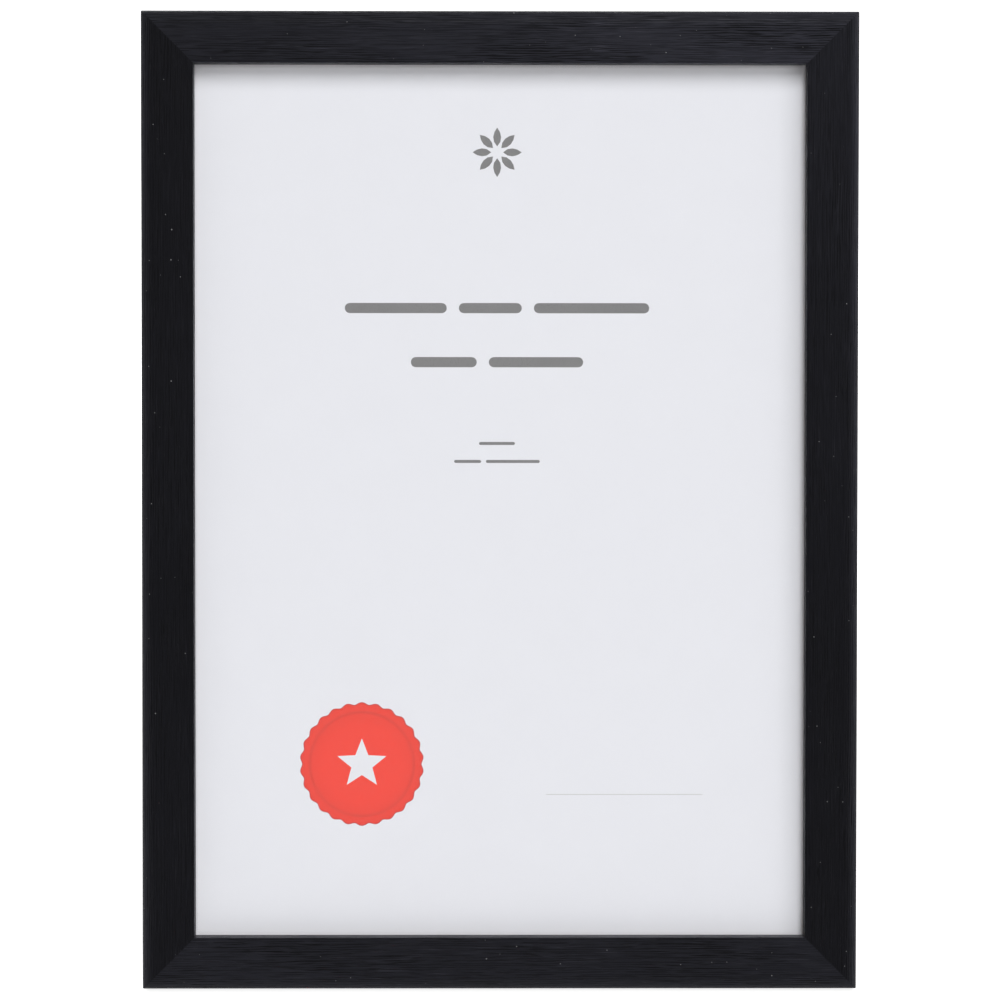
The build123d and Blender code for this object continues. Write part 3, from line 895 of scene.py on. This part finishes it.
def rail_mesh(length, sizes, cut_from):
    """One mitred rail, drawn as the bottom one, with its lay along and across the face.

    The lay starts at the rail's own place on the long moulding, so that no two rails look alike.
    """
    bm = bmesh.new()
    lay = bm.loops.layers.uv.verify()
    half = length / 2
    profile = moulding_profile(sizes)
    lowered = sunk_profile(profile, sizes.mitre_groove)
    travelled = [0.0]
    for a, b in zip(profile, profile[1:]):
        travelled.append(travelled[-1] + math.hypot(b[0] - a[0], b[1] - a[1]))
    ends = [(-1, back * MM) for back in (0.0, 0.13, 0.27, 0.45, 1.5)]
    rings = []
    for side, back in ends + [(1, back) for _, back in reversed(ends)]:
        ring = []
        for (depth, w, _), v in zip(profile if back else lowered, travelled):
            x, w = rounded_corner(side * (half - w - back), w, half, sizes.corner_round)
            ring.append((bm.verts.new((x, depth, w)), x, v))
        rings.append(ring)
    for near, far in zip(rings, rings[1:]):
        for i in range(len(profile)):
            j = (i + 1) % len(profile)
            corners = [near[i], near[j], far[j], far[i]]
            face = bm.faces.new([c[0] for c in corners])
            inner_edge = profile[i][2] == 0 and profile[j][:2] == (LIP_BACK, RAIL_WIDTH)
            face.material_index = int((profile[j][2] == 1 or j == 0) and not inner_edge)
            for loop, (_, x, v) in zip(face.loops, corners):
                if j == 0 and loop.vert is not corners[0][0]:
                    v = travelled[i] + RAIL_WIDTH
                loop[lay].uv = (x + cut_from, v)
    for ring in (rings[0], rings[-1]):
        face = bm.faces.new([v for v, _, _ in ring])
        face.material_index = 1
        for loop in face.loops:
            loop[lay].uv = (loop.vert.co.z, loop.vert.co.y)
    return bm


def nail_outline(corner, spare):
    """A V nail seen along its depth, its point on the mitre, counterclockwise."""
    end = corner - NAIL_LEG - spare
    low, high = corner - NAIL_HALF - spare, corner + NAIL_HALF + spare
    return [(high, high), (end, high), (end, low), (low, low), (low, end), (high, end)]


def rail_cutter(length, offset):
    """The nail slots and pilot holes of one rail."""
    bm = bmesh.new()
    half, past = length / 2, RAIL_BACK + 2 * MM
    for corner in NAIL_CORNERS:
        loop = nail_outline(corner, SLOT_SPARE)
        for place in (turned(-half, 0, 0), turned(half, 0, -90)):
            add_prism(bm, loop, RAIL_BACK - NAIL_DEPTH - SLOT_SPARE, past, place)
    for x in (-offset, offset):
        add_prism(bm, circle(PILOT_RADIUS, 32), PILOT_FRONT, past, moved(x, 0, SCREW_LINE))
    for face in bm.faces:
        face.material_index = 1
    return bm


class FRAME_OT_make_moulding(bpy.types.Operator):
    """Makes the four mitred rails in grained black foil over a raw core"""

    bl_idname = "certificate_frame.make_moulding"
    bl_label = "Make moulding"

    def execute(self, context):
        sizes, colours = context.scene.frame_sizes, context.scene.frame_colours
        core = core_finish("moulding_core", colours.core)
        # Two copies of one foil, lit and shaded: the upright rails' copy is painted darker, with fainter
        # grooves, less sheen and a stronger shoulder highlight, as the light from above catches their grain
        # less.
        level = foil_finish("foil_level_grain", colours, sizes, 1.0, 0.03, 0.08, 0.25)
        upright = foil_finish("foil_upright_grain", colours, sizes, 0.415, 0.3, 0.065, 1.0)
        for number, (name, length, offset, place) in enumerate(rail_places()):
            finishes = [level if length == OUTER_WIDTH else upright, core]
            rail = rail_mesh(length, sizes, CUT_STEP * number)
            bm = cut_away(rail, rail_cutter(length, offset), finishes)
            bmesh.ops.transform(bm, matrix=STANDING @ place, verts=bm.verts)
            make_piece(name + "_moulding", bm, "frame", finishes, [name], laid=True)
        return {"FINISHED"}


class FRAME_OT_make_corner_nails(bpy.types.Operator):
    """Makes the pairs of V nails that hold the mitres"""

    bl_idname = "certificate_frame.make_corner_nails"
    bl_label = "Make corner nails"

    def execute(self, context):
        colours = context.scene.frame_colours
        steel = steel_finish("plain_nail_steel", colours.nail, 0.42, 3 * MM, 0.1 * MM, tarnish=0.5)
        side = OUTER_WIDTH / 2
        for corner, place in (
            ("bottom_left", turned(-side, 0, 0)), ("bottom_right", turned(side, 0, -90)),
            ("top_left", turned(-side, OUTER_HEIGHT, 90)), ("top_right", turned(side, OUTER_HEIGHT, 180)),
        ):
            bm = bmesh.new()
            for reach in NAIL_CORNERS:
                outline = nail_outline(reach, 0)
                add_plate(bm, [outline], RAIL_BACK - NAIL_DEPTH, RAIL_BACK, 0.05 * MM, STANDING @ place, 1)
            make_piece("v_nails_" + corner, bm, "frame", [steel], ["corner_nails_" + corner])
        return {"FINISHED"}


class FRAME_OT_make_glass(bpy.types.Operator):
    """Makes the pane with its ground edges"""

    bl_idname = "certificate_frame.make_glass"
    bl_label = "Make glass"

    def execute(self, context):
        colours = context.scene.frame_colours
        bm = bmesh.new()
        outline = rectangle(PANEL_WIDTH, PANEL_HEIGHT, (0, OUTER_HEIGHT / 2))
        add_plate(bm, [outline], LIP_BACK + 0.02 * MM, GLASS_BACK - 0.03 * MM, 0.2 * MM, STANDING, 1)
        glass = glass_finish("clear_glass", colours.glass)
        make_piece("glass_pane", bm, "frame", [glass], ["glazing"])
        return {"FINISHED"}


# Insert

def word_bars(widths, gap, height, thickness):
    """Bars with round ends in a row, centred, in millimetres."""
    left = PRINT_SHIFT - (sum(widths) + gap * (len(widths) - 1)) * MM / 2
    r, height = thickness * MM / 2, height * MM
    bars = []
    for width in widths:
        right = left + width * MM
        bars.append(arc((right - r, height), r, -90, 90, 8) + arc((left + r, height), r, 90, 270, 8))
        left = right + gap * MM
    return bars


def scalloped(radius, scallops, depth):
    """The radii of a wavy disc whose bumps are rounder than its hollows."""
    waves = [0.5 + 0.5 * math.cos(2 * math.pi * i / 12) for i in range(scallops * 12)]
    return [radius - depth * (1 - wave**0.8) for wave in waves]


def rosette(centre, radius, petals):
    """Pointed petals round a middle."""
    half_shares = [(0.24, 0), (0.42, 0.8), (0.62, 1), (0.82, 0.7)]
    shares = half_shares + [(1, 0)] + [(u, -v) for u, v in half_shares[:0:-1]]
    loops = []
    for i in range(petals):
        a = 2 * math.pi * i / petals
        along, across = Vector((math.sin(a), math.cos(a))), Vector((math.cos(a), -math.sin(a)))
        petal = [Vector(centre) + (along * u + across * v * PETAL_SHARE) * radius for u, v in shares]
        loops.append([tuple(point) for point in petal])
    return loops


def print_shapes(sizes):
    """Printed shapes as (outline, finish number), later ones over earlier ones."""
    grey = rosette((PRINT_SHIFT, 116.2 * MM), 8.2 * MM, 8)
    grey += word_bars([34, 21, 38.5], 4, 64.4, 3.4) + word_bars([22, 31.5], 4, 46.4, 3.4)
    grey += word_bars([12], 0, 19.3, 1.0) + word_bars([9, 18], 1.6, 13.3, 1.0)
    shapes = [(loop, 1) for loop in grey]
    for radius, look in ((sizes.seal_radius, 4), (sizes.seal_radius - 0.3 * MM, 2)):
        shapes += [(around(SEAL_CENTRE, scalloped(radius, sizes.seal_scallops, 0.8 * MM)), look)]
    shapes += [(around(SEAL_CENTRE, [8.6 * MM, 3.7 * MM] * 5), 0)]
    return shapes + [(rectangle(52.3 * MM, 0.28 * MM, (41.7 * MM, -98.1 * MM)), 3)]


def insert_mesh(shapes):
    """The sheet as one mesh, whose faces have the finish of the topmost shape over them."""
    points, faces = [], []
    for loop, _ in shapes:
        faces.append(list(range(len(points), len(points) + len(loop))))
        points += [Vector(p) for p in loop]
    found, _, triangles, _, _, origins = delaunay_2d_cdt(points, [], faces, 1, 1e-7)
    if not triangles:
        raise RuntimeError("the insert's shapes made no faces")
    bm = bmesh.new()
    lay = bm.loops.layers.uv.verify()
    middle = OUTER_HEIGHT / 2
    verts = [bm.verts.new((p.x, GLASS_BACK + 0.04 * MM, p.y + middle)) for p in found]
    for corners, inside in zip(triangles, origins):
        bm.faces.new([verts[i] for i in corners]).material_index = shapes[max(inside)][1]
    rim = [e for e in bm.edges if len(e.link_faces) == 1]
    made = bmesh.ops.extrude_edge_only(bm, edges=rim)["geom"]
    for vert in made:
        if isinstance(vert, bmesh.types.BMVert):
            vert.co.y = SHEET_BACK
    bmesh.ops.triangle_fill(bm, edges=[e for e in made if isinstance(e, bmesh.types.BMEdge)])
    for face in bm.faces:
        for loop in face.loops:
            loop[lay].uv = (loop.vert.co.x, loop.vert.co.z - middle)
    bmesh.ops.transform(bm, matrix=STANDING, verts=bm.verts)
    return bm


class FRAME_OT_make_insert(bpy.types.Operator):
    """Makes the insert as one sheet whose printed shapes are faces of their own"""

    bl_idname = "certificate_frame.make_insert"
    bl_label = "Make insert"

    def execute(self, context):
        sizes, colours = context.scene.frame_sizes, context.scene.frame_colours
        finishes = [
            paper_finish("white_card", colours.paper, 0.975),
            paper_finish("grey_ink", colours.ink, 1.18),
            seal_finish("seal_red", colours, sizes),
            paper_finish("pale_ink", colours.fine_ink, 1.06),
            paper_finish("seal_edge_red", colours.seal_edge, 1.1),
        ]
        bm = insert_mesh([(rectangle(SHEET_WIDTH, SHEET_HEIGHT), 0)] + print_shapes(sizes))
        make_piece("printed_insert", bm, "frame", finishes, ["certificate_sheet"], laid=True)
        return {"FINISHED"}


class FRAME_OT_finish_boards(bpy.types.Operator):
    """Gives the filler card and the backing board their finishes"""

    bl_idname = "certificate_frame.finish_boards"
    bl_label = "Finish boards"

    def execute(self, context):
        colours = context.scene.frame_colours
        for node, look in (
            ("filler_card", card_finish("grey_card", colours.card)),
            ("backing_board", hardboard_finish("brown_hardboard", colours.hardboard)),
        ):
            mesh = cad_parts[node].data
            mesh.materials.clear()
            mesh.materials.append(look)
        return {"FINISHED"}


# Fixings

def button_outline():
    """The eye at the origin and the nose up, counterclockwise."""
    eye, nose, length = 4.5 * MM, 2.6 * MM, 14.0 * MM
    reach = length - nose
    tilt = math.degrees(math.asin((eye - nose) / reach))
    return arc((0, reach), nose, tilt, 180 - tilt, 16) + arc((0, 0), eye, 180 - tilt, 360 + tilt, 32)


def screw_profile():
    """A wood screw with a rounded pan head, as (radius, depth) from its point."""
    point, rim, soft = SCREW_SEAT - SCREW_LENGTH, SCREW_SEAT + 0.5 * MM, 0.15 * MM
    return [
        (0, point), (SCREW_SHANK, point + 2.5 * MM), (SCREW_SHANK, SCREW_SEAT),
        (SCREW_HEAD - soft, SCREW_SEAT), (SCREW_HEAD, SCREW_SEAT + soft),
    ] + dome(SCREW_HEAD, rim, SCREW_SEAT + SCREW_RISE, 10)


def cross_recess():
    """A cutter for a cross recess whose arms narrow as they go down."""
    bm = bmesh.new()
    rings = []
    for above, arm, half in ((0.3, 1.72, 0.42), (-0.55, 1.25, 0.33), (-1.05, 0.45, 0.22)):
        turns = [Matrix.Rotation(math.pi / 2 * quarter, 2) for quarter in range(4)]
        corners = ((arm, -half), (arm, half), (half, half))
        loop = [tuple(turn @ Vector(corner) * MM) for turn in turns for corner in corners]
        rings.append(add_loop(bm, loop, SCREW_SEAT + SCREW_RISE + above * MM, Matrix.Identity(4)))
    add_skin(bm, rings)
    return bm


def screws_mesh(steel):
    """The eight screws with their cross recesses, each turned in another way."""
    one = bmesh.new()
    add_turned(one, screw_profile(), 40, Matrix.Identity(4))
    one = cut_away(one, cross_recess(), [steel])
    source = bpy.data.meshes.new("one_screw")
    one.to_mesh(source)
    one.free()
    group = bmesh.new()
    for number, (_, place) in enumerate(button_places()):
        before = len(group.verts)
        group.from_mesh(source)
        group.verts.ensure_lookup_table()
        spin = turned(0, 0, 17 + 31 * number)
        bmesh.ops.transform(group, matrix=STANDING @ place @ spin, verts=group.verts[before:])
    bpy.data.meshes.remove(source)
    return group


class FRAME_OT_make_turn_buttons(bpy.types.Operator):
    """Makes the eight turn buttons and the screws that they turn on"""

    bl_idname = "certificate_frame.make_turn_buttons"
    bl_label = "Make turn buttons"

    def execute(self, context):
        sizes, colours = context.scene.frame_sizes, context.scene.frame_colours
        plate = steel_finish("zinc_button_steel", colours.zinc, 0.32, 6 * MM, 0.1 * MM, tarnish=0.4)
        steel = steel_finish("zinc_screw_steel", colours.bright, 0.26, 1.0 * MM, 0.16 * MM, tarnish=0.6)
        loops = [button_outline(), circle(BUTTON_HOLE, 32)]
        for name, place in button_places():
            bm = bmesh.new()
            add_plate(bm, loops, BUTTON_FRONT, BUTTON_FRONT + BUTTON_THICKNESS, sizes.metal_ease * 1.5,
                      STANDING @ place)
            make_piece("button_plate_" + name, bm, "button_" + name, [plate],
                       ["turn_button_" + name])
        make_piece("button_screws", screws_mesh(steel), "frame", [steel],
                   ["turn_button_screws"])
        return {"FINISHED"}


def rivet_profile(seat, grip):
    """A tubular rivet whose head lies on seat, as (radius, depth) from its bore to its crown."""
    bore, shank, head, clenched, roll = (size * MM for size in (0.8, 1.5, 3.0, 2.4, 0.3))
    end = seat - grip
    inside = [(0, seat), (bore, seat), (bore, end + roll)]
    inside += [(bore + 0.1 * MM, end + 0.08 * MM), (bore + 0.3 * MM, end)]
    clench = arc((clenched - roll, end + roll), roll, -90, 90, 6)
    outside = [(shank, end + 2 * roll), (shank, seat), (head - 0.08 * MM, seat)]
    return inside + clench + outside + dome(head, seat + 0.12 * MM, seat + 0.8 * MM, 10)


def make_rivets(name, body, node, colours, across, heights, seat, grip, place):
    """Makes rivets of one kind, at every height and distance across."""
    bm = bmesh.new()
    for x in across:
        for z in heights:
            add_turned(bm, rivet_profile(seat, grip), 36, place @ moved(x, 0, z))
    make_piece(name, bm, body, [bright(colours)], [node])


class FRAME_OT_make_hinge(bpy.types.Operator):
    """Makes the hinge leaf on the board, its rivets and the pin"""

    bl_idname = "certificate_frame.make_hinge"
    bl_label = "Make hinge"

    def execute(self, context):
        sizes, colours = context.scene.frame_sizes, context.scene.frame_colours
        ease, plated = sizes.metal_ease, zinc(colours)
        make_eased("hinge_plate_on_board", "board_leaf", ease, "frame", plated)
        heights = PIVOT_HEIGHT + 8.35 * MM, PIVOT_HEIGHT + 20.0 * MM
        make_rivets("hinge_rivets", "frame", "board_leaf_rivets", colours, (-RIVET_ACROSS, RIVET_ACROSS),
                    heights, RAIL_BACK + LEAF_THICKNESS, 3.8 * MM, STANDING)
        soft = 0.35 * MM
        nose = arc((PIN_RADIUS - soft, soft - PIN_REACH), soft, -90, 0, 4)
        profile = [(0, -PIN_REACH)] + nose + [(r, -y) for r, y in reversed(nose)] + [(0, PIN_REACH)]
        across = moved(0, RAIL_BACK + PIN_STANDOFF, PIVOT_HEIGHT) @ Matrix.Rotation(math.pi / 2, 4, "Z")
        pin = bmesh.new()
        add_turned(pin, profile, 36, STANDING @ across)
        make_piece("hinge_pin_rod", pin, "frame", [bright(colours)], ["hinge_pin"])
        return {"FINISHED"}


class FRAME_OT_make_strut(bpy.types.Operator):
    """Makes the easel leg with its hinge leaf and rivets"""

    bl_idname = "certificate_frame.make_strut"
    bl_label = "Make strut"

    def execute(self, context):
        sizes, colours = context.scene.frame_sizes, context.scene.frame_colours
        brown = hardboard_finish("brown_hardboard", colours.hardboard)
        make_eased("easel_leg", "strut_board", 0.25 * MM, "strut", brown)
        ease, plated = sizes.metal_ease, zinc(colours)
        make_eased("hinge_plate_on_leg", "strut_leaf", ease, "strut", plated)
        swing = STANDING @ moved(0, RAIL_BACK + PIN_STANDOFF, PIVOT_HEIGHT) @ Matrix.Rotation(
            math.radians(OPENING), 4, "X")
        make_rivets("leg_rivets", "strut", "strut_leaf_rivets", colours, (-RIVET_ACROSS, RIVET_ACROSS),
                    [-14 * MM], 2.35 * MM, 3.9 * MM, swing)
        return {"FINISHED"}


class FRAME_OT_make_hanger(bpy.types.Operator):
    """Makes the folded strap, its rivet and the wire ring"""

    bl_idname = "certificate_frame.make_hanger"
    bl_label = "Make hanger"

    def execute(self, context):
        sizes, colours = context.scene.frame_sizes, context.scene.frame_colours
        ease, plated = sizes.metal_ease, zinc(colours)
        make_eased("hanging_strap", "hanger_strap", ease, "frame", plated)
        make_rivets("strap_rivet", "frame", "hanger_rivet", colours, [0], [HANGER_HEIGHT - 10 * MM],
                    RAIL_BACK + STRAP_SEAT, 4.4 * MM, STANDING)
        half, gap, drop = 10.5 * MM, 0.2 * MM, 17.0 * MM
        corners = [(-gap, 0), (-half, 0), (0, -drop), (half, 0), (gap, 0)]
        hang = STANDING @ moved(0, RAIL_BACK + LOOP_RADIUS, HANGER_HEIGHT) @ Matrix.Rotation(
            math.radians(LEAN), 4, "X")
        ring = bmesh.new()
        add_wire(ring, fillet_path(corners, 2.5 * MM, 14), WIRE_RADIUS, 24, hang)
        wire = steel_finish("drawn_wire", colours.bright, 0.2, 4 * MM, 0.12 * MM, tarnish=0.15)
        make_piece("hanging_ring_wire", ring, "ring", [wire], ["hanger_ring"])
        return {"FINISHED"}


# Stage

def add_camera(studio, aim):
    """The camera at the photograph's viewing angle."""
    data = bpy.data.cameras.new("front_view")
    data.sensor_width = 36.0
    data.lens = data.sensor_width * studio.focal_pixels / PICTURE_PIXELS
    data.clip_start, data.clip_end = 0.05, 50.0
    place = STANDING @ moved(aim.x, aim.y, aim.z + PICTURE_RISE)
    for angle, axis in ((studio.yaw, "Z"), (math.pi / 2 - studio.pitch, "X"), (studio.roll, "Z")):
        place = place @ Matrix.Rotation(angle, 4, axis)
    camera = bpy.data.objects.new("front_view", data)
    camera.matrix_world = place @ moved(0, 0, studio.distance)
    bpy.context.scene.collection.objects.link(camera)
    bpy.context.scene.camera = camera


def add_softbox(name, place, aim, width, height, watts, mirrored=True):
    """A rectangular lamp that faces a point, with or without its own reflection."""
    data = bpy.data.lights.new(name, "AREA")
    data.shape = "RECTANGLE"
    data.size, data.size_y, data.energy = width, height, watts
    lamp = bpy.data.objects.new(name, data)
    lamp.location = place
    lamp.rotation_mode = "QUATERNION"
    lamp.rotation_quaternion = (aim - place).to_track_quat("-Z", "Y")
    lamp.visible_glossy = lamp.visible_transmission = mirrored
    bpy.context.scene.collection.objects.link(lamp)


def add_room(studio):
    """A dim even room that the camera, metal and glass see as white."""
    world = bpy.data.worlds.new("white_room")
    bpy.context.scene.world = world
    world.use_nodes = True
    tree = world.node_tree
    tree.nodes.clear()
    dim, white = (add_node(tree, "ShaderNodeBackground", {"Color": (1, 1, 1, 1), "Strength": strength})
                  for strength in (studio.fill, 1.0))
    inputs = {0: seen_by_eye(tree), 1: dim.outputs[0], 2: white.outputs[0]}
    mix = add_node(tree, "ShaderNodeMixShader", inputs)
    add_node(tree, "ShaderNodeOutputWorld", {"Surface": mix.outputs[0]})


def add_floor():
    """A wide pale table top that keeps the shadow."""
    bm = bmesh.new()
    turns = [2 * math.pi * i / 64 for i in range(64)]
    rings = [[bm.verts.new((r * math.cos(a), r * math.sin(a), 0)) for a in turns] for r in (0.4, 1.2, 3.0)]
    add_skin(bm, rings, capped=False)
    bm.faces.new(rings[0])
    object_from("table_top", bm, [table_finish("pale_table")])


class FRAME_OT_make_stage(bpy.types.Operator):
    """Makes the table, the room, the softboxes and the camera"""

    bl_idname = "certificate_frame.make_stage"
    bl_label = "Make stage"

    def execute(self, context):
        studio = context.scene.frame_studio
        turn = STANDING.to_3x3()
        right, out, up = (turn @ Vector(way) for way in ((1, 0, 0), (0, -1, 0), (0, 0, 1)))
        aim = Vector((0, OUTLINE_DEPTH, OUTER_HEIGHT / 2))
        middle = STANDING @ aim
        far = studio.upper_distance
        upper = middle + (out + up * 0.655 + right * 0.11) * far
        add_softbox("upper_softbox", upper, middle, 0.3 * far, 0.69 * far, studio.upper_light)
        far = studio.side_distance
        side = middle + (out + right * 0.66 + up * 0.06) * far
        add_softbox("side_softbox", side, middle, 0.8 * far, 0.3 * far, studio.side_light, mirrored=False)
        behind = middle - out * 1.0 + up * 0.9 - right * 0.5
        add_softbox("back_softbox", behind, middle, 1.2, 0.9, studio.back_light)
        add_camera(studio, aim)
        add_room(studio)
        add_floor()
        context.scene.view_settings.view_transform = "Standard"
        return {"FINISHED"}


STEPS = [
    FRAME_OT_make_moulding, FRAME_OT_make_corner_nails, FRAME_OT_make_glass, FRAME_OT_make_insert,
    FRAME_OT_finish_boards, FRAME_OT_make_turn_buttons, FRAME_OT_make_hinge, FRAME_OT_make_strut,
    FRAME_OT_make_hanger, FRAME_OT_make_stage,
]


class FRAME_PT_certificate_frame(bpy.types.Panel):
    """Lists the steps that make the frame, and its sizes and colours"""

    bl_idname = "FRAME_PT_certificate_frame"
    bl_label = "Certificate Frame"
    bl_space_type = "VIEW_3D"
    bl_region_type = "UI"
    bl_category = "Certificate Frame"

    def draw(self, context):
        for step in STEPS:
            self.layout.operator(step.bl_idname)
        scene = context.scene
        for group in (scene.frame_sizes, scene.frame_colours, scene.frame_studio):
            box = self.layout.box()
            for name in group.__annotations__:
                box.prop(group, name)


CLASSES = [FrameSizes, FrameColours, StudioValues] + STEPS + [FRAME_PT_certificate_frame]


def register():
    for each in CLASSES:
        bpy.utils.register_class(each)
    bpy.types.Scene.frame_sizes = PointerProperty(type=FrameSizes)
    bpy.types.Scene.frame_colours = PointerProperty(type=FrameColours)
    bpy.types.Scene.frame_studio = PointerProperty(type=StudioValues)


def unregister():
    del bpy.types.Scene.frame_sizes, bpy.types.Scene.frame_colours, bpy.types.Scene.frame_studio
    for each in reversed(CLASSES):
        bpy.utils.unregister_class(each)


def main():
    """Makes every piece and the stage."""
    register()
    steps = bpy.ops.certificate_frame
    steps.make_moulding()
    steps.make_corner_nails()
    steps.make_glass()
    steps.make_insert()
    steps.finish_boards()
    steps.make_turn_buttons()
    steps.make_hinge()
    steps.make_strut()
    steps.make_hanger()
    steps.make_stage()


if __name__ == "__main__":
    main()
